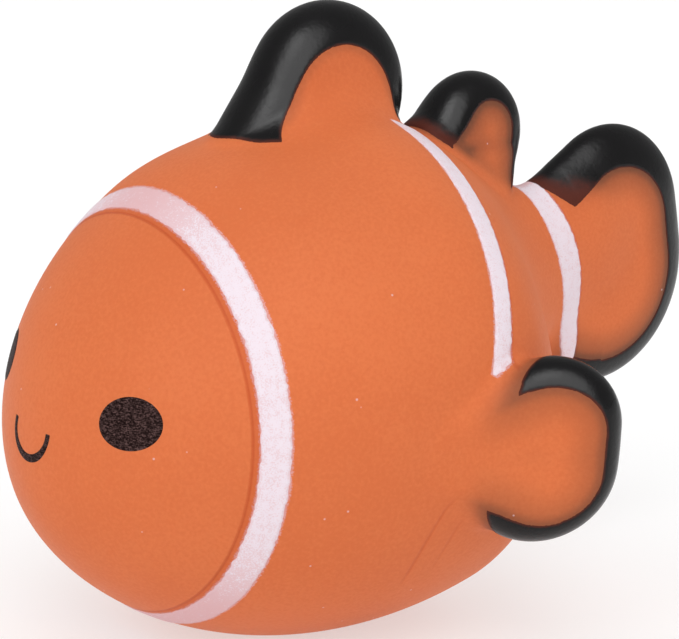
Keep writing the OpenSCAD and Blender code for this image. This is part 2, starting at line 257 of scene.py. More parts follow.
@labelled
class FacePrint(bpy.types.PropertyGroup):
    """Sizes of the printed face, seen from the front."""

    shift: length("Sideways shift of the face", 0.5)
    height: length("Height of the mouth's ends", 24.9)
    turn: angle("Turn of the face", 8)
    eye: length("Width of each eye", 6.05)
    eye_height: share("Height of each eye as a part of its width", 0.92)
    eye_spread: length("Distance of each eye from the middle", 11.32)
    eye_rise: length("Height of the eyes over the mouth's ends", 3.82)
    mouth: length("Width of the mouth", 6)
    stroke: length("Width of the mouth's line", 0.95)
    film: length("Thickness of the print", 0.05)
    throw: length("How far the print is thrown from ahead of the toy", 40)


@labelled
class Finishes(bpy.types.PropertyGroup):
    """Colours of the finishes."""

    vinyl: tint("Orange of the vinyl", 212, 113, 66)
    vinyl_deep: tint("Darker orange in its mottling", 206, 106, 60)
    # Painted shade: darker orange for the lines beside the bands and the flank's creases
    vinyl_shade: tint("Orange in the lines beside the bands", 176, 64, 22)
    # Drifted black mist on the orange, and painted shade on the fins further back
    soot: tint("Black that has drifted onto the orange", 84, 58, 44)
    white: tint("White of the bands", 228, 215, 223)
    thin_white: tint("White where it is sprayed thin", 214, 166, 168)
    black: tint("Black of the fin margins", 14, 13, 14)
    thin_black: tint("Black where it is sprayed thin", 74, 26, 12)
    print_black: tint("Black of the printed face", 20, 6, 5)
    print_worn: tint("Print where its grain stands up", 98, 74, 72)
    plastic: tint("Plastic of the squeaker", 233, 228, 216)
    brass: tint("Brass of the reed", 201, 162, 78)
    floor: tint("Pale floor", 180, 180, 180)


@labelled
class StageSetting(bpy.types.PropertyGroup):
    """Camera and light."""

    camera: length("Place of the camera", -145.64, -179.48, 72.54)
    azimuth: angle("Direction of the camera round the toy", -37.933)
    elevation: angle("Height of the camera over the horizon, as an angle", 10.006)
    roll: angle("Turn of the camera about its own axis", 1.465)
    lens: share("Focal length in millimetres", 110.81)
    picture: share("Width in millimetres of the picture for that lens", 36)
    floor_size: length("Side of the floor", 30000)
    floor_glow: share("Light from below the floor, which keeps it white under the toy", 0.52)
    sky: share("Strength of the even light from all sides", 0.88)
    gloss_sky: share("Strength of that light in reflections", 0.35)
    gloss_card: share("Strength of the pale card that shows in reflections", 4)
    card_way: length("Way from the toy to the middle of that card", -350, -800, 500)
    card_half: angle("Half of the angle that the card fills", 36)
    card_soft: share("Softness of the card's edge", 0.08)
    front_light: share("Strength of the soft light from ahead of the toy", 0.4)
    front_way: length("Way from the toy to that light", -850, -400, 450)
    top_light: share("Strength of the soft light from above its left side", 0.6)
    top_way: length("Way from the toy to that light", -400, -450, 800)
    spread: angle("Angle that each soft light fills", 30)


PARTS = {
    "body": BodyShape,
    "front_dorsal": FrontDorsalShape,
    "rear_dorsal": RearDorsalShape,
    "tail": TailShape,
    "pectoral": PectoralShape,
    "pectoral_place": PectoralPlace,
    "head_band": HeadBandShape,
    "mid_band": MidBandShape,
    "tail_band": TailBandShape,
    "paint": PaintShape,
    "face": FacePrint,
    "finish": Finishes,
    "stage": StageSetting,
}
BathToy = group_of(
    "BathToy",
    "All sizes and colours of the toy.",
    {key: bpy.props.PointerProperty(type=part) for key, part in PARTS.items()},
)


def toy():
    return bpy.context.scene.bath_toy


# Distances that shape the casting; negative inside

# Rounding where the wraps of a fin's circles meet
OUTLINE_BLEND = 1.5 * MM
# Keeps the distances finite in the middle of a shape
LEAST_SLOPE = 0.5
# Shares of the way from a fin's root to its tip between which its thickness changes
FIN_REACH = (-0.5, 1.6)
# Room round the cup's flange, depth of its pocket, the bore's step and room, and their rounding
POCKET_ROOM = 0.12 * MM
POCKET_DEPTH = 1.15 * MM
BORE_STEP = 0.6 * MM
BORE_ROOM = 0.5 * MM
POCKET_EDGE = 0.35 * MM
# Room round the CAD's box: the skin is meshed inside it, and the print starts at its front
BOX_ROOM = 2 * MM
# Heights at which the flat belly and its pocket are meshed more finely
BELLY_LEVELS = np.arange(-0.6 * MM, 2.4 * MM, 0.25 * MM)
# Longest move of a point in one round, and the least steepness that it is divided by
SETTLE_STEP = 0.5 * MM
SETTLE_SLOPE = 0.05


def smooth_min(a, b, k):
    """The lesser of two distances, rounded over k where they meet."""
    h = np.clip(k - np.abs(a - b), 0, None) / k
    return np.minimum(a, b) - h * h * k / 4


def smooth_max(a, b, k):
    return -smooth_min(-a, -b, k)


def ease(t):
    t = np.clip(t, 0, 1)
    return t * t * (3 - 2 * t)


def hull_of_two(x, z, a, ra, b, rb):
    """Distance to the outline that wraps two circles."""
    ax, az = b[0] - a[0], b[1] - a[1]
    span = math.hypot(ax, az)
    ax, az = ax / span, az / span
    along = (x - a[0]) * ax + (z - a[1]) * az
    across = np.abs((z - a[1]) * ax - (x - a[0]) * az)
    lean = (ra - rb) / span
    upright = math.sqrt(1 - lean * lean)
    k = along * upright - across * lean
    at_a = np.hypot(along, across) - ra
    at_b = np.hypot(along - span, across) - rb
    side = across * upright + along * lean - ra
    return np.where(k < 0, at_a, np.where(k > upright * span, at_b, side))


class Casting:
    """The one-piece casting: a round body on a rising axis, fins, a flat belly and a pocket."""

    def __init__(self, settings):
        self.s = settings
        b = settings.body
        self.sin, self.cos = math.sin(b.pitch), math.cos(b.pitch)
        self.ring_x = (FLANK_BOX[0].x + FLANK_BOX[1].x) / 2 + b.flank_ahead
        self.ring_z = (FLANK_BOX[0].z + FLANK_BOX[1].z) / 2 + b.flank_drop
        self.nose_x = self.ring_x - b.head_length * self.cos
        self.nose_z = self.ring_z - b.head_length * self.sin
        self.fins = (settings.front_dorsal, settings.rear_dorsal, settings.tail, settings.pectoral)

    def along_axis(self, p):
        """Distance behind the nose along the axis, and height over the axis."""
        x, z = p[:, 0] - self.nose_x, p[:, 2] - self.nose_z
        return x * self.cos + z * self.sin, z * self.cos - x * self.sin

    def body(self, p):
        """Distance to the body: a full nose, a rear that narrows, and the stock's dome."""
        b = self.s.body
        x, z = self.along_axis(p)
        radius, stock, a = b.diameter / 2, b.stock_height / 2, b.head_length
        bend = np.clip((x - a - b.narrow_start) / b.narrow_run, 0, 1) * math.pi
        flat = 1 - (1 - b.stock_width / b.stock_height) * (1 - np.cos(bend)) / 2
        dip = b.dip / radius * ease(1 - np.abs(x - a + b.dip_ahead) / b.dip_run)
        q = np.hypot(p[:, 1] / flat, z + np.clip(z, 0, None) * dip)
        u, v, m, n = np.clip(1 - x / a, 0, None), q / radius, 2 * b.nose_run, 2 * b.nose_side
        steep = np.hypot(m * u ** (m - 1) / a, n * v ** (n - 1) / radius + LEAST_SLOPE)
        front = (u**m + v**n - 1) / steep
        t = np.clip((x - a) / b.rear_length, 0, 1) * math.pi
        swell = stock + (radius - stock) * (1 + np.cos(t)) / 2
        slope = (radius - stock) * np.sin(t) * math.pi / (2 * b.rear_length)
        rear = (q - swell) / np.sqrt(1 + slope * slope)
        w = (x - a - b.rear_length) / b.stock_dome
        g = q / stock
        dome = (w * w + g * g - 1) / (2 * np.hypot(w / b.stock_dome, g / stock) + LEAST_SLOPE)
        return np.where(x < a, front, np.where(x < a + b.rear_length, rear, dome))

    def fin_plane(self, fin, p):
        """Coordinates in a fin's own plane, and the distance from that plane."""
        if fin != self.s.pectoral:
            return p[:, 0] - self.ring_x, p[:, 2], np.abs(p[:, 1])
        at = self.s.pectoral_place
        x = p[:, 0] - self.ring_x - at.root[0]
        y = np.abs(p[:, 1]) - at.root[1] - at.lean * (p[:, 2] - at.level)
        c, s = math.cos(at.sweep), math.sin(at.sweep)
        return x * c + y * s, p[:, 2], np.abs(x * s - y * c)

    def outline(self, fin, x, z):
        """Distance to a fin's outline in its own plane."""
        tip, front = (fin.tip, fin.tip_radius), (fin.front, fin.front_radius)
        rear = (fin.rear, fin.rear_radius)
        d = hull_of_two(x, z, *tip, *front)
        d = smooth_min(d, hull_of_two(x, z, *tip, *rear), OUTLINE_BLEND)
        return smooth_min(d, hull_of_two(x, z, *front, *rear), OUTLINE_BLEND)

    def fin(self, fin, p):
        """Distance to a fin, which is rounded towards its outline."""
        x, z, off = self.fin_plane(fin, p)
        d = self.outline(fin, x, z)
        root = [(fin.front[i] + fin.rear[i]) / 2 for i in (0, 1)]
        rx, rz = fin.tip[0] - root[0], fin.tip[1] - root[1]
        t = ((x - root[0]) * rx + (z - root[1]) * rz) / (rx * rx + rz * rz)
        half = (fin.root_thick + (fin.tip_thick - fin.root_thick) * np.clip(t, *FIN_REACH)) / 2
        u, v = np.clip(d + fin.rim, 0, None) / fin.rim, off / half
        k = np.hypot(u, v)
        return k * (k - 1) / (np.hypot(u / fin.rim, v / half) + LEAST_SLOPE)

    def whole(self, p):
        """The casting without its flat belly and pocket."""
        d = self.body(p)
        for fin in self.fins:
            x, z, _ = self.fin_plane(fin, p)
            inner = ease(-self.outline(fin, x, z) / fin.rim)
            fillet = fin.rim_fillet + (fin.fillet - fin.rim_fillet) * inner
            d = smooth_min(d, self.fin(fin, p), fillet)
        return d

    def skin(self, p):
        """The whole casting, with a flat belly and a pocket for the squeaker's cup."""
        d = smooth_max(self.whole(p), -p[:, 2], self.s.body.base_edge)
        middle_x = (CUP_BOX[0].x + CUP_BOX[1].x) / 2
        out = np.hypot(p[:, 0] - middle_x, p[:, 1])
        flange = (CUP_BOX[1].x - CUP_BOX[0].x) / 2
        pocket = np.maximum(out - flange - POCKET_ROOM, p[:, 2] - CUP_BOX[0].z - POCKET_DEPTH)
        bore = np.maximum(out - flange + BORE_STEP, p[:, 2] - CUP_BOX[1].z - BORE_ROOM)
        return smooth_max(d, -np.minimum(pocket, bore), POCKET_EDGE)


def slope_of(distance, p, h=0.02 * MM):
    """Gradient of a distance at the points p."""
    parts = []
    for i in range(3):
        e = np.zeros(3)
        e[i] = h
        parts.append((distance(p + e) - distance(p - e)) / (2 * h))
    return np.stack(parts, -1)


def settle(distance, p, rounds):
    """Moves points along the gradient until they lie on the surface."""
    for _ in range(rounds):
        g = slope_of(distance, p)
        size = np.maximum((g * g).sum(1), SETTLE_SLOPE)
        p = p - np.clip(distance(p) / size, -SETTLE_STEP, SETTLE_STEP)[:, None] * g
    return p


def outward(distance, p):
    g = slope_of(distance, p)
    return g / np.maximum(np.linalg.norm(g, axis=1), 1e-9)[:, None]


def cell_points(f, grid, active):
    """A point in each cell that the surface passes, in the middle of where it cuts the edges."""
    total, hits = np.zeros((len(active), 3)), np.zeros(len(active))
    for axis in range(3):
        u, v = [i for i in range(3) if i != axis]
        for a, b in np.ndindex(2, 2):
            start = active.copy()
            start[:, u] += a
            start[:, v] += b
            end = start.copy()
            end[:, axis] += 1
            fa, fb = f[tuple(start.T)], f[tuple(end.T)]
            cut = (fa < 0) != (fb < 0)
            t = np.where(cut, fa / np.where(cut, fa - fb, 1), 0)[:, None]
            pa, pb = grid[tuple(start.T)], grid[tuple(end.T)]
            total += np.where(cut[:, None], pa + (pb - pa) * t, 0)
            hits += cut
    return total / hits[:, None]


def cell_quads(inside, index):
    """A quad for each grid edge that the surface cuts, between the four cells around that edge."""
    shape = inside.shape
    quads = []
    for axis in range(3):
        u, v = (axis + 1) % 3, (axis + 2) % 3
        first = [slice(None)] * 3
        second = [slice(None)] * 3
        first[axis], second[axis] = slice(None, -1), slice(1, None)
        a, b = inside[tuple(first)], inside[tuple(second)]
        edge = np.argwhere(a != b)
        edge = edge[(edge[:, u] > 0) & (edge[:, v] > 0)]
        edge = edge[(edge[:, u] < shape[u] - 1) & (edge[:, v] < shape[v] - 1)]
        leaves = a[tuple(edge.T)]
        around = []
        for du, dv in ((-1, -1), (0, -1), (0, 0), (-1, 0)):
            cell = edge.copy()
            cell[:, u] += du
            cell[:, v] += dv
            around.append(index[tuple(cell.T)])
        quad = np.stack(around, -1)
        quads.append(np.where(leaves[:, None], quad, quad[:, ::-1]))
    return np.vstack(quads)


def wrap_surface(distance, low, high, step):
    """Quads over a surface that is the same on both sides of the middle plane, by surface nets."""
    xs = np.arange(low[0], high[0] + step, step)
    rows = int(np.ceil(-low[1] / step)) + 1
    ys = (np.arange(-rows, 1) + 0.5) * step
    zs = np.r_[BELLY_LEVELS, np.arange(BELLY_LEVELS[-1] + step, high[2] + step, step)]
    grid = np.stack(np.meshgrid(xs, ys, zs, indexing="ij"), -1)
    shape = grid.shape[:3]
    f = distance(grid.reshape(-1, 3)).reshape(shape)
    inside = f < 0
    cells = [n - 1 for n in shape]
    count = np.zeros(cells, np.int8)
    for i, j, k in np.ndindex(2, 2, 2):
        count += inside[i : i + cells[0], j : j + cells[1], k : k + cells[2]]
    active = np.argwhere((count > 0) & (count < 8))
    index = np.full(cells, -1)
    index[tuple(active.T)] = np.arange(len(active))
    points = cell_points(f, grid, active)
    quads = cell_quads(inside, index)
    middle = np.abs(points[:, 1]) < step / 4
    middle &= active[:, 1] == cells[1] - 1
    points[middle, 1] = 0
    twin = np.where(middle, np.arange(len(points)), len(points) + np.cumsum(~middle) - 1)
    mirrored = points[~middle] * [1, -1, 1]
    return np.vstack([points, mirrored]), np.vstack([quads, twin[quads][:, ::-1]])


def even_out(distance, points, quads, rounds=4):
    """Slides the points along the surface so that the mesh is more even."""
    ends = np.vstack([quads[:, [i, (i + 1) % 4]] for i in range(4)])
    start, end = np.vstack([ends, ends[:, ::-1]]).T
    count = len(points)
    degree = np.bincount(start, minlength=count)[:, None]
    for _ in range(rounds):
        sums = [np.bincount(start, weights=points[end, i], minlength=count) for i in range(3)]
        pull = np.stack(sums, -1) / degree - points
        n = outward(distance, points)
        pull -= (pull * n).sum(1)[:, None] * n
        points = settle(distance, points + 0.5 * pull, 1)
    return settle(distance, points, 2)


def ragged(p, size, seed, waves=18):
    """An uneven value between about -1 and 1 that changes over the given length."""
    rng = np.random.default_rng(seed)
    ways = rng.normal(size=(waves, 3))
    ways /= np.linalg.norm(ways, axis=1)[:, None]
    pace = 2 * math.pi / size * rng.uniform(0.6, 1.7, waves)
    return np.sin(p @ (ways * pace[:, None]).T + rng.uniform(0, 2 * math.pi, waves)).sum(1) / 4


def edges_of(faces):
    """The three edges of each triangle, each with its lower point first."""
    return np.sort(np.vstack([faces[:, [0, 1]], faces[:, [1, 2]], faces[:, [2, 0]]]), axis=1)


def finer(points, faces):
    """Splits each triangle in four."""
    unique, back = np.unique(edges_of(faces), axis=0, return_inverse=True)
    a, b, c = faces.T
    ab, bc, ca = back.reshape(3, -1) + len(points)
    points = np.vstack([points, points[unique].mean(1)])
    parts = ((a, ab, ca), (ab, b, bc), (ca, bc, c), (ab, bc, ca))
    return points, np.vstack([np.stack(part, -1) for part in parts])


def keep_inside(points, faces, value, least=0.012 * MM):
    """The part of a triangle mesh where value is positive, cut at its zero line, no slivers."""
    value = np.where(np.abs(value) < least, np.where(value > 0, least, -least), value)
    edges = np.unique(edges_of(faces), axis=0)
    a, b = edges[(value[edges[:, 0]] > 0) != (value[edges[:, 1]] > 0)].T
    t = value[a] / (value[a] - value[b])
    cut = points[a] + (points[b] - points[a]) * t[:, None]
    count = len(points)
    where = dict(zip(zip(a.tolist(), b.tolist()), range(count, count + len(cut))))
    points, value = np.vstack([points, cut]), np.r_[value, np.zeros(len(cut))]
    signs = value[faces] > 0
    crossed = signs.any(1) & ~signs.all(1)
    made = []
    for face, sign in zip(faces[crossed].tolist(), signs[crossed].tolist()):
        ring = []
        for i in range(3):
            a, b = face[i], face[(i + 1) % 3]
            if sign[i]:
                ring.append(a)
            if sign[i] != sign[(i + 1) % 3]:
                ring.append(where[(min(a, b), max(a, b))])
        made += [[ring[0], ring[i], ring[i + 1]] for i in range(1, len(ring) - 1)]
    made = np.array(made, int).reshape(-1, 3)
    faces = largest_part(np.vstack([faces[signs.all(1)], made]))
    used, faces = np.unique(faces, return_inverse=True)
    return points[used], faces.reshape(-1, 3), value[used]


def largest_part(faces):
    """The largest set of triangles that hang together by their edges."""
    found, index = np.unique(edges_of(faces), axis=0, return_inverse=True)
    sides = index.reshape(3, -1).T
    label = np.arange(len(faces))
    while True:
        lowest = np.full(len(found), len(faces))
        np.minimum.at(lowest, sides.ravel(), np.repeat(label, 3))
        joined = lowest[sides].min(1)
        joined = joined[joined]
        if (joined == label).all():
            break
        label = joined
    names, sizes = np.unique(label, return_counts=True)
    return faces[label == names[sizes.argmax()]]


# Mesh and node helpers


def mesh_object(name, points, faces, material):
    mesh = bpy.data.meshes.new(name)
    mesh.from_pydata(points.tolist(), [], faces.tolist())
    mesh.polygons.foreach_set("use_smooth", np.ones(len(mesh.polygons), bool))
    mesh.materials.append(material)
    mesh.update()
    obj = bpy.data.objects.new(name, mesh)
    bpy.context.scene.collection.objects.link(obj)
    return obj


def mesh_points(obj):
    points = np.zeros(len(obj.data.vertices) * 3, np.float32)
    obj.data.vertices.foreach_get("co", points)
    return points.reshape(-1, 3).astype(float)


def float_attribute(obj, name, values):
    attribute = obj.data.attributes.new(name, "FLOAT", "POINT")
    attribute.data.foreach_set("value", np.asarray(values, np.float32))


def vector_attribute(obj, name, values):
    attribute = obj.data.attributes.new(name, "FLOAT_VECTOR", "POINT")
    attribute.data.foreach_set("vector", np.asarray(values, np.float32).ravel())


def ride_and_squash(obj, nodes):
    """Joins a piece to the toy: it stands for its nodes and flattens when the toy is squeezed."""
    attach(obj, "body")
    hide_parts(*nodes)
    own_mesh(obj)


def made_once(collection, name):
    """Makes a material or a node group at the first call, and gives the same one after that."""

    def wrap(make):
        return lambda: getattr(bpy.data, collection).get(name) or make()

    return wrap


class Value:
    """A value in a node tree; adding, subtracting or multiplying it adds a math node."""

    def __init__(self, tree, socket):
        self.tree, self.socket = tree, socket

    def __add__(self, other):
        return self.tree.math("ADD", self, other)

    def __sub__(self, other):
        return self.tree.math("SUBTRACT", self, other)

    def __rsub__(self, other):
        return self.tree.math("SUBTRACT", other, self)

    def __mul__(self, other):
        return self.tree.math("MULTIPLY", self, other)

    def __abs__(self):
        return self.tree.math("ABSOLUTE", self)


class Tree:
    """Short calls that add and join nodes."""

    def __init__(self, tree):
        self.tree = tree

    def put(self, socket, value):
        """Joins a value to a socket, or sets the socket to a constant."""
        if isinstance(value, Value):
            self.tree.links.new(value.socket, socket)
        elif socket.type == "RGBA":
            socket.default_value = (*value[:3], 1.0)
        else:
            socket.default_value = value

    def fill(self, sockets, values):
        for key, value in values.items():
            self.put(sockets[key], value)

    def add(self, kind, inputs=None, **settings):
        """Adds a node; its settings come before its inputs, because they can change these."""
        node = self.tree.nodes.new(kind)
        for key, value in settings.items():
            setattr(node, key, value)
        self.fill(node.inputs, inputs or {})
        return node

    def get(self, kind, output=0, inputs=None, **settings):
        """Adds a node and gives one of its values."""
        return Value(self, self.add(kind, inputs, **settings).outputs[output])

    def values(self, kind, inputs=None, **settings):
        """Adds a node and gives its values by their names."""
        outputs = self.add(kind, inputs, **settings).outputs
        return {output.name: Value(self, output) for output in outputs}

    def group(self, group, **inputs):
        """Adds a shader node group and gives its values by their names."""
        inputs = {label_of(key): value for key, value in inputs.items()}
        return self.values("ShaderNodeGroup", inputs, node_tree=group)

    def math(self, operation, *values):
        return self.get("ShaderNodeMath", 0, dict(enumerate(values)), operation=operation)

    def span(self, value, low, high, to_low=0.0, to_high=1.0):
        """Carries a value smoothly from one range to another, held at its ends."""
        ends = {"From Min": low, "From Max": high, "To Min": to_low, "To Max": to_high}
        node = self.add("ShaderNodeMapRange", ends, interpolation_type="SMOOTHSTEP")
        self.put(node.inputs["Value"], value)
        return Value(self, node.outputs[0])

    def blend(self, part, a, b):
        """Mixes two colours."""
        return self.get("ShaderNodeMix", 2, {0: part, 6: a, 7: b}, data_type="RGBA")

    def noise(self, where, scale, detail=2.0, rough=0.5):
        inputs = {"Vector": where, "Scale": scale, "Detail": detail, "Roughness": rough}
        return self.get("ShaderNodeTexNoise", "Fac", inputs)

    def bump(self, height, strength, distance):
        inputs = {"Height": height, "Strength": strength, "Distance": distance}
        return self.get("ShaderNodeBump", "Normal", inputs)

    def attribute(self, name, output="Fac"):
        return self.get("ShaderNodeAttribute", output, attribute_name=name)

    def place(self):
        """The place on the piece, in its own coordinates."""
        return self.get("ShaderNodeTexCoord", "Object")

    def split(self, vector):
        return self.values("ShaderNodeSeparateXYZ", {0: vector}).values()


def node_group(name, tree_kind, inputs, outputs):
    """A new node group: itself, its tree, the values given to it and where its results go.

    Each socket is given by its kind, or by a number that is its default.
    """
    group = bpy.data.node_groups.new(name, tree_kind)
    for way, sockets in (("INPUT", inputs), ("OUTPUT", outputs)):
        for label, given in sockets.items():
            kind = given if isinstance(given, str) else "Float"
            socket = group.interface.new_socket(label, in_out=way, socket_type=f"NodeSocket{kind}")
            if kind != given:
                socket.default_value = given
    t = Tree(group)
    return group, t, t.values("NodeGroupInput"), t.add("NodeGroupOutput").inputs


def shader_group(name, *outputs, **inputs):
    """Makes a shader node group of plain numbers once, from a function that gives its results."""

    def wrap(results):
        @made_once("node_groups", name)
        def make():
            numbers = {label_of(key): value for key, value in inputs.items()}
            kinds = dict.fromkeys(outputs, "Float")
            group, t, given, out = node_group(name, "ShaderNodeTree", numbers, kinds)
            t.fill(out, results(t, t.place(), given))
            return group

        return make

    return wrap


@shader_group("Moulded grain", "Fine", "Broad", fine_scale=2200.0, broad_scale=60.0)
def moulded_grain(t, where, given):
    """Fine grain and broad unevenness of a moulded or sprayed surface."""
    fine = t.noise(where, given["Fine scale"], 2, 0.55)
    return {"Fine": fine, "Broad": t.noise(where, given["Broad scale"], 3, 0.5)}


@shader_group("Dust specks", "Mask", scale=420.0, amount=0.05)
def dust_specks(t, where, given):
    """A few tiny pale specks of dust."""
    cells = {"Vector": where, "Scale": given["Scale"], "Randomness": 1.0}
    cell = t.values("ShaderNodeTexVoronoi", cells)
    chance = t.get("ShaderNodeSeparateColor", 0, {"Color": cell["Color"]})
    chosen = t.math("LESS_THAN", chance, given["Amount"])
    return {"Mask": chosen * t.span(cell["Distance"], 0.03, 0.07, 1.0, 0.0)}


@shader_group("Spray speckle", "Cover", scale=3800.0, thickness=0.5)
def spray_speckle(t, where, given):
    """Fine droplets of sprayed paint, which cover more where the paint lies thicker."""
    drops = t.noise(where, given["Scale"], 2, 0.6)
    clouds = t.noise(where, given["Scale"] * 0.2, 2, 0.5)
    level = drops * 0.7 + clouds * 0.3
    return {"Cover": t.span(level - (1.0 - given["Thickness"]), -0.06, 0.06)}


# The longer of the two creases, in millimetres
CREASE = {"at": -13.3, "level": 14.5, "lean": 0.18, "bow": 0.025, "low": 8.0, "high": 20.0}


@shader_group("Flank crease", "Mask", **CREASE)
def flank_crease(t, where, given):
    """A faint crease up the left flank: where it lies, leans, bows, starts and ends."""
    x, y, z = t.split(where)
    x, z = x * (1 / MM), z * (1 / MM)
    up = z - given["Level"]
    off = abs(x - given["At"] - up * (given["Lean"] + up * given["Bow"]))
    ends = t.math("MINIMUM", z - given["Low"], given["High"] - z)
    mask = t.span(off, 0.08, 0.3, 1.0, 0.0) * t.span(ends, 0.0, 3.0)
    return {"Mask": mask * t.math("LESS_THAN", y, 0.0)}


# Materials


def new_material(name):
    """An empty material, its tree and its one surface shader's inputs."""
    material = bpy.data.materials.new(name)
    material.use_nodes = True
    material.node_tree.nodes.clear()
    t = Tree(material.node_tree)
    shader = t.add("ShaderNodeBsdfPrincipled")
    t.add("ShaderNodeOutputMaterial", {"Surface": Value(t, shader.outputs[0])})
    return material, t, shader.inputs


def finish(name, fine_scale, broad_scale):
    """Makes a grained material once, from a function that gives its shader's values."""

    def wrap(look):
        @made_once("materials", name)
        def make():
            material, t, shader = new_material(name)
            grain = t.group(moulded_grain(), fine_scale=fine_scale, broad_scale=broad_scale)
            t.fill(shader, look(t, toy().finish, grain["Fine"], grain["Broad"]))
            return material

        return make

    return wrap


@finish("Orange vinyl", fine_scale=2600.0, broad_scale=55.0)
def vinyl_material(t, colours, fine, broad):
    """Mottled vinyl with white overspray, lines beside the bands, creases, soot and dust."""
    mottle = t.span(broad * 0.5 + fine * 0.5, 0.36, 0.64)
    base = t.blend(mottle, colours.vinyl, colours.vinyl_deep)
    # Millimetres into the bands, and behind the edges that have a line beside them
    near = t.attribute("overspray")
    head, mid, tail = t.split(t.attribute("masked_edges", "Vector"))
    thick = t.span(near, -0.4, 0.1, 0.2, 0.6)
    cover = t.group(spray_speckle(), scale=5200.0, thickness=thick)["Cover"]
    # Painted shade: a dark line where the head's cap steps down ahead of the head band, a shaded
    # strip from there to the band, and dark lines in the grooves behind the mid and tail bands
    ahead = t.span(abs(head + 0.55), 0.04, 0.22, 1.0, 0.0)
    behind = t.span(t.math("MINIMUM", abs(mid), abs(tail)), 0.05, 0.35, 0.8, 0.0)
    line = t.math("MAXIMUM", ahead, behind) * t.span(near, -1.2, -0.8)
    strip = t.span(head, -0.62, -0.5) * t.span(head, 0.0, 0.1, 1.0, 0.0)
    # Faint creases up the left flank, dented by the bump and darkened with painted shade
    long_crease = t.group(flank_crease())["Mask"]
    short_crease = t.group(flank_crease(), at=-10.2, low=9.5, high=17.5)["Mask"]
    crease = t.math("MAXIMUM", long_crease, short_crease * 0.6)
    specks = t.group(dust_specks(), scale=430.0, amount=0.22)["Mask"]
    for part, colour in (
        (cover * t.span(near, -0.45, 0.0, 0.0, 0.7), colours.thin_white),
        (strip * 0.3, colours.vinyl_shade),
        (line * 0.45, colours.vinyl_shade),
        (crease * 0.3, colours.vinyl_shade),
        # Drifted black mist, and painted shade that darkens the fins further back
        (t.attribute("mist"), colours.soot),
        (specks * 0.45, colours.white),
    ):
        base = t.blend(part, base, colour)
    step = t.span(head, -0.75, -0.4, 0.16, 0.0)
    height = fine * 0.03 + specks * 0.06 + step - line * 0.05 - crease * 0.08
    return {
        "Base Color": base,
        "Roughness": fine * 0.12 + broad * 0.06 + 0.44,
        "Subsurface Weight": 0.12,
        "Subsurface Radius": (1.0, 0.35, 0.15),
        "Subsurface Scale": 2 * MM,
        "Specular IOR Level": 0.15,
        "Normal": t.bump(height, 0.4, MM),
    }


@finish("Black margin paint", fine_scale=1500.0, broad_scale=130.0)
def black_paint_material(t, colours, fine, broad):
    """Black paint, browner and duller where it lies thin."""
    thick = t.attribute("thickness")
    wander = thick + (fine - 0.5) * 0.5
    base = t.blend(t.span(wander, 0.1, 0.9), colours.thin_black, colours.black)
    specks = t.group(dust_specks(), scale=420.0, amount=0.04)["Mask"]
    rough = t.span(broad, 0.3, 0.7, 0.24, 0.34) + t.span(thick, 0.0, 1.0, 0.4, 0.0)
    return {
        "Base Color": t.blend(specks * 0.25, base, colours.white),
        "Roughness": rough + specks * 0.3,
        "Specular IOR Level": 0.22,
        "Normal": t.bump(fine, 0.5, 0.06 * MM),
    }


@finish("White band paint", fine_scale=2400.0, broad_scale=90.0)
def white_paint_material(t, colours, fine, broad):
    """White paint in fine droplets, thinner at its border and where the skin turns away."""
    facing = t.attribute("facing")
    thick = t.span(t.attribute("edge"), 0.0, 0.4, 0.3, 0.5) + broad * 0.14
    thick = thick - t.span(facing, 0.3, 0.75, 0.2, 0.0)
    cover = t.group(spray_speckle(), scale=6500.0, thickness=thick)["Cover"]
    part = t.span(facing, 0.25, 0.7, 0.15, 0.6)
    faint = t.blend(part, colours.thin_white, colours.white)
    return {
        "Base Color": t.blend(cover, faint, colours.white),
        "Roughness": fine * 0.15 + 0.48,
        "Specular IOR Level": 0.16,
        "Subsurface Weight": 0.05,
        "Subsurface Radius": (1.0, 0.6, 0.5),
        "Subsurface Scale": 0.6 * MM,
        "Normal": t.bump(fine + cover, 0.3, 0.05 * MM),
    }


@finish("Printed black", fine_scale=6000.0, broad_scale=900.0)
def print_material(t, colours, fine, _):
    """Black print whose grain is worn in level streaks."""
    flat = t.get("ShaderNodeMapping", 0, {"Vector": t.place(), "Scale": (0.4, 0.4, 1.5)})
    worn = fine * 0.45 + t.noise(flat, 5200.0, 2, 0.6) * 0.55
    return {
        "Base Color": t.blend(t.span(worn, 0.42, 0.72), colours.print_black, colours.print_worn),
        "Roughness": t.span(worn, 0.3, 0.7, 0.48, 0.62),
        "Specular IOR Level": 0.05,
        "Normal": t.bump(fine, 0.4, 0.05 * MM),
    }


@finish("Squeaker plastic", fine_scale=3000.0, broad_scale=200.0)
def squeaker_material(t, colours, fine, broad):
    """Pale moulded plastic."""
    colour = colours.plastic
    return {
        "Base Color": t.blend(broad, colour, [0.9 * c for c in colour]),
        "Roughness": t.span(fine, 0.2, 0.8, 0.34, 0.46),
        "Subsurface Weight": 0.1,
        "Subsurface Scale": 1 * MM,
        "Normal": t.bump(fine, 0.2, 0.03 * MM),
    }


@finish("Reed brass", fine_scale=6000.0, broad_scale=500.0)
def brass_material(t, colours, fine, broad):
    """Thin rolled brass."""
    colour = colours.brass
    return {
        "Base Color": t.blend(broad, colour, [0.7 * c for c in colour]),
        "Metallic": 1.0,
        "Roughness": t.span(fine, 0.2, 0.8, 0.22, 0.36),
        "Normal": t.bump(fine, 0.15, 0.02 * MM),
    }


# Paint distances; positive where there is paint

# Slope of the cut at the mid band's lower end
LOW_END_SLOPE = 0.2
# Radii below the tip's centre at which the further space at a margin's lower end starts
LOW_START = 0.2
# How far a margin may pass the ends of its fin's circles
MARGIN_REACH = 1 * MM
# Width over which the black thins at its border
BORDER_FADE = 0.5 * MM
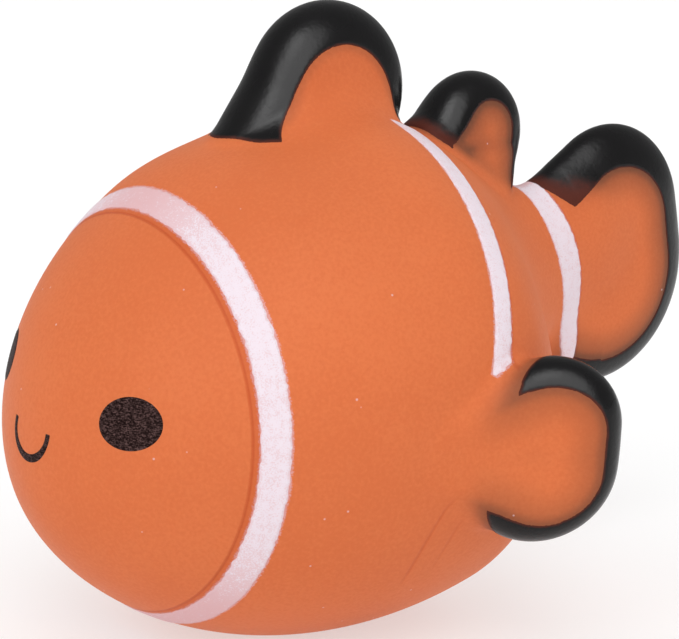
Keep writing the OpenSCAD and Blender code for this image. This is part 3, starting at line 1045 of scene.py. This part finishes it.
# Widths over which the mist and its painted shade fade: off its fin, and broadly and narrowly off
# its margin
MIST_AND_SHADE_FALL = 1.5 * MM
BROAD_MIST_AND_SHADE = 5 * MM
NARROW_MIST = 1.2 * MM
# Strength of the narrow mist
NARROW_SHARE = 0.3
# How far outside a paint's border the skin's faces are taken along
FILM_SEARCH = 1.6 * MM
# How much a film that faces up counts as facing the spray
FACING_UP = 0.3
# Distance that stands for no paint at all
FAR_AWAY = 1.0


def past_edge(casting, band, edge, p):
    """Distance along X behind one edge of a band."""
    t = (p[:, 2] - band.level) / band.span
    return p[:, 0] - casting.ring_x - edge[0] - edge[1] * t - edge[2] * t * t


def between_edges(casting, band, p):
    ahead, behind = (past_edge(casting, band, edge, p) for edge in (band.front, band.rear))
    return np.minimum(ahead, -behind)


def head_band(casting, p):
    return between_edges(casting, casting.s.head_band, p)


def mid_band(casting, p):
    s = casting.s
    free = casting.fin(s.front_dorsal, p) - s.paint.mid_clear
    slope = LOW_END_SLOPE * past_edge(casting, s.mid_band, s.mid_band.rear, p)
    low = p[:, 2] - s.paint.mid_low + slope
    ends = np.minimum(np.minimum(free, low), s.paint.clear - casting.body(p))
    return np.minimum(between_edges(casting, s.mid_band, p), ends)


def tail_band(casting, p):
    s = casting.s
    free = casting.fin(s.rear_dorsal, p) - s.paint.clear
    return np.minimum(between_edges(casting, s.tail_band, p), free)


def on_side(side, paint):
    """Holds a paint to one side of the toy, or to both."""
    return lambda p: np.where(p[:, 1] * side >= 0, paint(p), -FAR_AWAY)


def off_root(casting, fin, p):
    """Distance from the line at which a fin's black margin leaves the body."""
    x, z, _ = casting.fin_plane(fin, p)
    at_rim = ease(1 + 2 * casting.outline(fin, x, z) / fin.margin)
    low = ease((fin.tip[1] - p[:, 2]) / fin.tip_radius - LOW_START)
    return casting.body(p) - fin.clear - fin.low_clear * low - fin.rim_clear * at_rim


def fin_margin(casting, fin, p):
    """Distance inside a fin's black margin, which runs along the rim from end to end."""
    x, z, _ = casting.fin_plane(fin, p)
    x, z = x - fin.drift[0], z - fin.drift[1]
    face = np.minimum(casting.outline(fin, x, z), casting.outline(fin, x, z + fin.open_by))
    rim = face + fin.margin - fin.taper * ease(1 - casting.body(p) / fin.tip_radius)
    ends = np.minimum(x - fin.front[0] + fin.front_radius, fin.tip[0] + fin.tip_radius - x)
    on_fin = np.minimum(fin.fillet - casting.fin(fin, p), ends + MARGIN_REACH)
    return np.minimum(np.minimum(rim, on_fin), off_root(casting, fin, p))


def margin_thickness(casting, fin, p):
    """How thick a fin's black lies: none to one, thin along its border and at the body."""
    from_root = off_root(casting, fin, p) / fin.fade
    return ease(np.minimum(fin_margin(casting, fin, p) / BORDER_FADE, from_root))


def margin_mist_and_shade(casting, p):
    """How much black has drifted past the margins onto the orange, from none to one."""
    drifted = np.zeros(len(p))
    for fin in casting.fins:
        past = fin_margin(casting, fin, p)
        near = ease(1 - casting.fin(fin, p) / MIST_AND_SHADE_FALL) * ease(casting.body(p) / MIST_AND_SHADE_FALL)
        broad, narrow = ease(1 + past / BROAD_MIST_AND_SHADE), ease(1 + past / NARROW_MIST)
        drifted = np.maximum(drifted, near * (fin.mist * broad + NARROW_SHARE * narrow))
    return drifted


def skin_arrays():
    """Points and quads of the skin that was built."""
    skin = bpy.data.objects["vinyl_skin"]
    quads = np.zeros(len(skin.data.loops), np.int32)
    skin.data.loops.foreach_get("vertex_index", quads)
    return mesh_points(skin), quads.reshape(-1, 4)


def spray_film(casting, node, paint, material, slot, levels, ragged_by=0.0, seed=0):
    """A film of paint for a node, which lies on the skin inside its masked border."""
    s = casting.s.paint
    points, quads = skin_arrays()
    near = paint(points) > -FILM_SEARCH
    quads = quads[near[quads].any(1)]
    faces = np.vstack([quads[:, [0, 1, 2]], quads[:, [0, 2, 3]]])
    used, faces = np.unique(faces, return_inverse=True)
    points, faces = points[used], faces.reshape(-1, 3)
    for _ in range(levels):
        points, faces = finer(points, faces)
    points = settle(casting.skin, points, 2)
    value = paint(points) + ragged_by * ragged(points, s.ragged_size, seed)
    points, faces, value = keep_inside(points, faces, value)
    rise = (s.film + s.sink) * ease(value / s.feather) - s.sink
    normal = outward(casting.skin, points)
    obj = mesh_object(f"{node}_paint", points + normal * rise[:, None], faces, material)
    float_attribute(obj, "edge", value / MM)
    float_attribute(obj, "facing", np.abs(normal[:, 1]) + FACING_UP * normal[:, 2])
    ride_and_squash(obj, [node])
    return obj


# Printed marks

# Part of a mark over which its film rises at the border, and where that starts, in films
EDGE_RISE = 0.16
EDGE_SINK = -0.5
# Half of the smile's arc, and how soon its ends count as border
SMILE_ARC = 1.08 * math.pi / 2
SMILE_END = 8.0
LAY_INPUTS = {"Skin": "Object", "Film": "Float", "Throw": "Float", "Material": "Material"}
MARK_INPUTS = dict.fromkeys(("Width", "Stroke", "Height", "Turn"), "Float")


def mark_group(name, inputs):
    """A new Geometry Nodes group that takes a mark and what lays it on the skin."""
    inputs = {"Geometry": "Geometry", **inputs, **LAY_INPUTS}
    return node_group(name, "GeometryNodeTree", inputs, {"Geometry": "Geometry"})


@made_once("node_groups", "Lay on skin")
def lay_on_skin_group():
    """Throws a flat mark onto the skin along X and lifts it by its film, less at its border."""
    group, t, given, out = mark_group("Lay on skin", {"Edge": "Float"})
    skin = t.get("GeometryNodeObjectInfo", "Geometry", {"Object": given["Skin"]})
    throw = {"Ray Direction": (1.0, 0.0, 0.0), "Ray Length": given["Throw"]}
    ray = t.values("GeometryNodeRaycast", {"Target Geometry": skin, **throw})
    lift = given["Film"] * t.span(given["Edge"], 0.0, EDGE_RISE, EDGE_SINK, 1.0)
    film = {0: ray["Hit Normal"], "Scale": lift}
    film = t.get("ShaderNodeVectorMath", 0, film, operation="SCALE")
    raised = {0: ray["Hit Position"], 1: film}
    raised = t.get("ShaderNodeVectorMath", 0, raised, operation="ADD")
    laid = {"Geometry": given["Geometry"], "Selection": ray["Is Hit"], "Position": raised}
    mark = t.get("GeometryNodeSetPosition", 0, laid)
    mark = t.get("GeometryNodeSetShadeSmooth", 0, {0: mark})
    mark = t.get("GeometryNodeRealizeInstances", 0, {0: mark})
    worn = {"Geometry": mark, "Material": given["Material"]}
    t.put(out["Geometry"], t.get("GeometryNodeSetMaterial", 0, worn))
    return group


def mark_tree(name, columns, rows, outline):
    """A tree for one printed mark: a grid, bent into its outline and thrown onto the skin."""
    group, t, given, out = mark_group(name, {**MARK_INPUTS, "Centre": "Vector"})
    size = {"Size X": 2.0, "Size Y": 2.0, "Vertices X": columns, "Vertices Y": rows}
    mark = t.get("GeometryNodeMeshGrid", "Mesh", size)
    across, along, _ = t.split(t.get("GeometryNodeInputPosition"))
    x, y, edge = outline(t, given, across, along)
    kept = {"Geometry": mark, "Name": "edge", "Value": edge}
    mark = t.get("GeometryNodeStoreNamedAttribute", 0, kept, data_type="FLOAT", domain="POINT")
    flat = t.get("ShaderNodeCombineXYZ", 0, {0: x, 1: y})
    mark = t.get("GeometryNodeSetPosition", 0, {"Geometry": mark, "Position": flat})
    turn = t.get("ShaderNodeCombineXYZ", 0, {2: given["Turn"]})
    mark = t.get("GeometryNodeTransform", 0, {"Geometry": mark, "Rotation": turn})
    ahead = {"Translation": given["Centre"], "Rotation": (math.pi / 2, 0.0, math.pi / 2)}
    mark = t.get("GeometryNodeTransform", 0, {"Geometry": mark, **ahead})
    edge = t.get("GeometryNodeInputNamedAttribute", 0, {"Name": "edge"}, data_type="FLOAT")
    laid = {"Geometry": mark, "Edge": edge, **{label: given[label] for label in LAY_INPUTS}}
    t.put(out["Geometry"], t.get("GeometryNodeGroup", 0, laid, node_tree=lay_on_skin_group()))
    return group


def eye_outline(t, given, x, y):
    """Bends the grid into an oval."""
    half = given["Width"] * 0.5
    u = x * t.math("SQRT", 1.0 - y * y * 0.5)
    v = y * t.math("SQRT", 1.0 - x * x * 0.5)
    edge = 1.0 - t.math("SQRT", u * u + v * v)
    return u * half, v * (half * given["Height"]), edge


def mouth_outline(t, given, x, y):
    """Bends the grid into a smile whose line thins towards its ends."""
    along = x * SMILE_ARC + 1.5 * math.pi
    taper = t.span(abs(x), 0.3, 0.8, 1.0, 0.75)
    out = given["Width"] * 0.5 + y * (given["Stroke"] * 0.5 * taper)
    edge = t.math("MINIMUM", (1.0 - abs(y)) * 0.5, (1.0 - abs(x)) * SMILE_END)
    return out * t.math("COSINE", along), out * t.math("SINE", along), edge


@made_once("node_groups", "Printed eye")
def eye_tree():
    return mark_tree("Printed eye", columns=33, rows=33, outline=eye_outline)


@made_once("node_groups", "Printed mouth")
def mouth_tree():
    return mark_tree("Printed mouth", columns=97, rows=7, outline=mouth_outline)


def printed_mark(name, tree, values, node):
    """Runs a mark's tree and turns its result into a plain mesh."""
    obj = bpy.data.objects.new(name, bpy.data.meshes.new(name))
    bpy.context.scene.collection.objects.link(obj)
    modifier = obj.modifiers.new("Mark", "NODES")
    modifier.node_group = tree
    sockets = {i.name: i.identifier for i in tree.interface.items_tree if i.in_out == "INPUT"}
    for label, value in values.items():
        modifier[sockets[label]] = value
    bpy.context.view_layer.update()
    depsgraph = bpy.context.evaluated_depsgraph_get()
    solid = bpy.data.meshes.new_from_object(obj.evaluated_get(depsgraph))
    obj.modifiers.clear()
    obj.data = solid
    solid.name = name
    ride_and_squash(obj, [node])


# Operators


class BATHTOY_OT_skin(bpy.types.Operator):
    """Cast the vinyl skin: body, fins, flat belly and the squeaker's pocket"""

    bl_idname = "bath_toy.skin"
    bl_label = "Cast vinyl skin"

    def execute(self, context):
        s = toy()
        casting = Casting(s)
        low = [CAD_BOX[0].x - BOX_ROOM, CAD_BOX[0].y - BOX_ROOM, 0]
        high = [CAD_BOX[1].x + BOX_ROOM, 0, CAD_BOX[1].z + BOX_ROOM]
        points, quads = wrap_surface(casting.skin, low, high, s.body.step)
        points = even_out(casting.skin, points, quads)
        obj = mesh_object("vinyl_skin", points, quads, vinyl_material())
        inside = [band(casting, points) for band in (head_band, mid_band, tail_band)]
        float_attribute(obj, "overspray", np.max(inside, axis=0) / MM)
        courses = (
            (s.head_band, s.head_band.front),
            (s.mid_band, s.mid_band.rear),
            (s.tail_band, s.tail_band.rear),
        )
        edges = [past_edge(casting, band, edge, points) for band, edge in courses]
        vector_attribute(obj, "masked_edges", np.stack(edges, -1) / MM)
        float_attribute(obj, "mist", margin_mist_and_shade(casting, points))
        nodes = [
            "body_shell",
            "left_flank",
            "right_flank",
            "front_dorsal_fin",
            "rear_dorsal_fin",
            "tail_fin",
            "left_pectoral_fin",
            "right_pectoral_fin",
        ]
        ride_and_squash(obj, nodes)
        return {"FINISHED"}


class BATHTOY_OT_margins(bpy.types.Operator):
    """Spray the black margins of the fins"""

    bl_idname = "bath_toy.margins"
    bl_label = "Spray black margins"

    def execute(self, context):
        s = toy()
        casting = Casting(s)
        black = black_paint_material()
        for name, fin, side in (
            ("front_dorsal", s.front_dorsal, BOTH),
            ("rear_dorsal", s.rear_dorsal, BOTH),
            ("tail", s.tail, BOTH),
            ("left_pectoral", s.pectoral, LEFT),
            ("right_pectoral", s.pectoral, RIGHT),
        ):
            paint = on_side(side, lambda p, fin=fin: fin_margin(casting, fin, p))
            obj = spray_film(casting, f"{name}_margin", paint, black, "black_paint", levels=1)
            float_attribute(obj, "thickness", margin_thickness(casting, fin, mesh_points(obj)))
        return {"FINISHED"}


class BATHTOY_OT_bands(bpy.types.Operator):
    """Spray the white bands"""

    bl_idname = "bath_toy.bands"
    bl_label = "Spray white bands"

    def execute(self, context):
        s = toy()
        casting = Casting(s)
        white = white_paint_material()
        for node, band, side, seed in (
            ("head_band", head_band, BOTH, 3),
            ("left_mid_band", mid_band, LEFT, 5),
            ("right_mid_band", mid_band, RIGHT, 5),
            ("tail_band", tail_band, BOTH, 7),
        ):
            paint = on_side(side, lambda p, band=band: band(casting, p))
            border = {"ragged_by": s.paint.ragged, "seed": seed}
            spray_film(casting, node, paint, white, "white_paint", levels=2, **border)
        return {"FINISHED"}


class BATHTOY_OT_face(bpy.types.Operator):
    """Print the eyes and the mouth on the skin"""

    bl_idname = "bath_toy.face"
    bl_label = "Print face"

    def execute(self, context):
        s = toy().face
        ahead = CAD_BOX[0].x - BOX_ROOM
        c, w = math.cos(s.turn), math.sin(s.turn)
        for name, tree, x, z, width in (
            ("left_eye", eye_tree(), -s.eye_spread, s.eye_rise, s.eye),
            ("right_eye", eye_tree(), s.eye_spread, s.eye_rise, s.eye),
            ("mouth", mouth_tree(), 0.0, 0.0, s.mouth),
        ):
            values = {
                "Skin": bpy.data.objects["vinyl_skin"],
                "Width": width,
                "Stroke": s.stroke,
                "Height": s.eye_height,
                "Centre": (ahead, -s.shift + x * c - z * w, s.height + x * w + z * c),
                "Turn": s.turn,
                "Film": s.film,
                "Throw": s.throw,
                "Material": print_material(),
            }
            printed_mark(f"{name}_print", tree, values, name)
        return {"FINISHED"}


class BATHTOY_OT_squeaker(bpy.types.Operator):
    """Give the squeaker's parts their finish"""

    bl_idname = "bath_toy.squeaker"
    bl_label = "Finish squeaker"

    def execute(self, context):
        for node in ("squeaker_cup", "reed_seat", "reed_clip", "squeaker_lid", "reed"):
            material = brass_material() if node == "reed" else squeaker_material()
            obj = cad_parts[node]
            if not obj.material_slots:
                raise RuntimeError(f"{node} has no material slot")
            for slot in obj.material_slots:
                slot.material = material
        return {"FINISHED"}


def soft_light(name, way, spread, strength):
    """A light from one side that fills a wide angle, as a large screen far away does."""
    light = bpy.data.lights.new(name, "SUN")
    light.angle = spread
    light.energy = strength
    obj = bpy.data.objects.new(name, light)
    obj.location = Vector(way)
    obj.rotation_euler = Vector(way).to_track_quat("Z", "Y").to_euler()
    bpy.context.scene.collection.objects.link(obj)


def pale_floor(s, colour):
    """A large floor that glows enough to stay white under the toy."""
    half = s.floor_size / 2
    corners = np.array([[-half, -half, 0], [half, -half, 0], [half, half, 0], [-half, half, 0]])
    material, t, shader = new_material("Pale floor")
    finish = {
        "Base Color": t.blend(t.noise(t.place(), 3.0), colour, [0.97 * c for c in colour]),
        "Roughness": 0.8,
        "Emission Color": (1, 1, 1),
        "Emission Strength": s.floor_glow,
    }
    t.fill(shader, finish)
    floor = mesh_object("floor", corners, np.array([[0, 1, 2, 3]]), material)


def soft_room(s):
    """Even light from all sides; reflections show a dimmer room with a pale card in it."""
    world = bpy.data.worlds.new("Soft room")
    world.use_nodes = True
    t = Tree(world.node_tree)
    seen = t.get("ShaderNodeTexCoord", "Generated")
    ways = {0: seen, 1: Vector(s.card_way).normalized()}
    toward = t.get("ShaderNodeVectorMath", "Value", ways, operation="DOT_PRODUCT")
    edge = math.cos(s.card_half)
    card = t.span(toward, edge - s.card_soft, edge + s.card_soft, s.gloss_sky, s.gloss_card)
    glossy = t.get("ShaderNodeLightPath", "Is Glossy Ray")
    strength = (1.0 - glossy) * s.sky + glossy * card
    back = world.node_tree.nodes["Background"].inputs
    t.fill(back, {"Color": (1, 1, 1), "Strength": strength})
    return world


def set_camera(s):
    """A camera at its place, turned by its azimuth, elevation and roll."""
    camera = bpy.data.cameras.new("camera")
    camera.sensor_width = s.picture
    camera.lens = s.lens
    camera.clip_start, camera.clip_end = 0.01, 100
    obj = bpy.data.objects.new("camera", camera)
    flat = math.cos(s.elevation)
    out, side = math.sin(s.azimuth) * flat, -math.cos(s.azimuth) * flat
    back = Vector((out, side, math.sin(s.elevation)))
    right = Vector((math.cos(s.azimuth), math.sin(s.azimuth), 0))
    up = back.cross(right)
    c, w = math.cos(s.roll), math.sin(s.roll)
    turn = Matrix((right * c + up * w, up * c - right * w, back)).transposed().to_4x4()
    obj.matrix_world = Matrix.Translation(s.camera) @ turn
    bpy.context.scene.collection.objects.link(obj)
    return obj


class BATHTOY_OT_stage(bpy.types.Operator):
    """Set the floor, the light and the camera"""

    bl_idname = "bath_toy.stage"
    bl_label = "Set stage"

    def execute(self, context):
        s = toy().stage
        scene = context.scene
        pale_floor(s, toy().finish.floor)
        scene.world = soft_room(s)
        soft_light("front_light", s.front_way, s.spread, s.front_light)
        soft_light("top_light", s.top_way, s.spread, s.top_light)
        scene.camera = set_camera(s)
        scene.view_settings.view_transform = "Standard"
        return {"FINISHED"}


class BATHTOY_PT_panel(bpy.types.Panel):
    """The toy's steps and sizes"""

    bl_idname = "BATHTOY_PT_panel"
    bl_label = "Bath Toy"
    bl_space_type = "VIEW_3D"
    bl_region_type = "UI"
    bl_category = "Bath Toy"

    def draw(self, context):
        for step in STEPS:
            self.layout.operator(step.bl_idname)
        for key, group in PARTS.items():
            box = self.layout.box()
            box.label(text=label_of(key))
            for field in group.__annotations__:
                box.prop(getattr(context.scene.bath_toy, key), field)


STEPS = (
    BATHTOY_OT_skin,
    BATHTOY_OT_margins,
    BATHTOY_OT_bands,
    BATHTOY_OT_face,
    BATHTOY_OT_squeaker,
    BATHTOY_OT_stage,
)
CLASSES = (*PARTS.values(), BathToy, *STEPS, BATHTOY_PT_panel)


def register():
    for item in CLASSES:
        bpy.utils.register_class(item)
    bpy.types.Scene.bath_toy = bpy.props.PointerProperty(type=BathToy)


def unregister():
    del bpy.types.Scene.bath_toy
    for item in reversed(CLASSES):
        bpy.utils.unregister_class(item)


def main():
    register()
    bpy.ops.bath_toy.skin()
    bpy.ops.bath_toy.margins()
    bpy.ops.bath_toy.bands()
    bpy.ops.bath_toy.face()
    bpy.ops.bath_toy.squeaker()
    bpy.ops.bath_toy.stage()


if __name__ == "__main__":
    main()
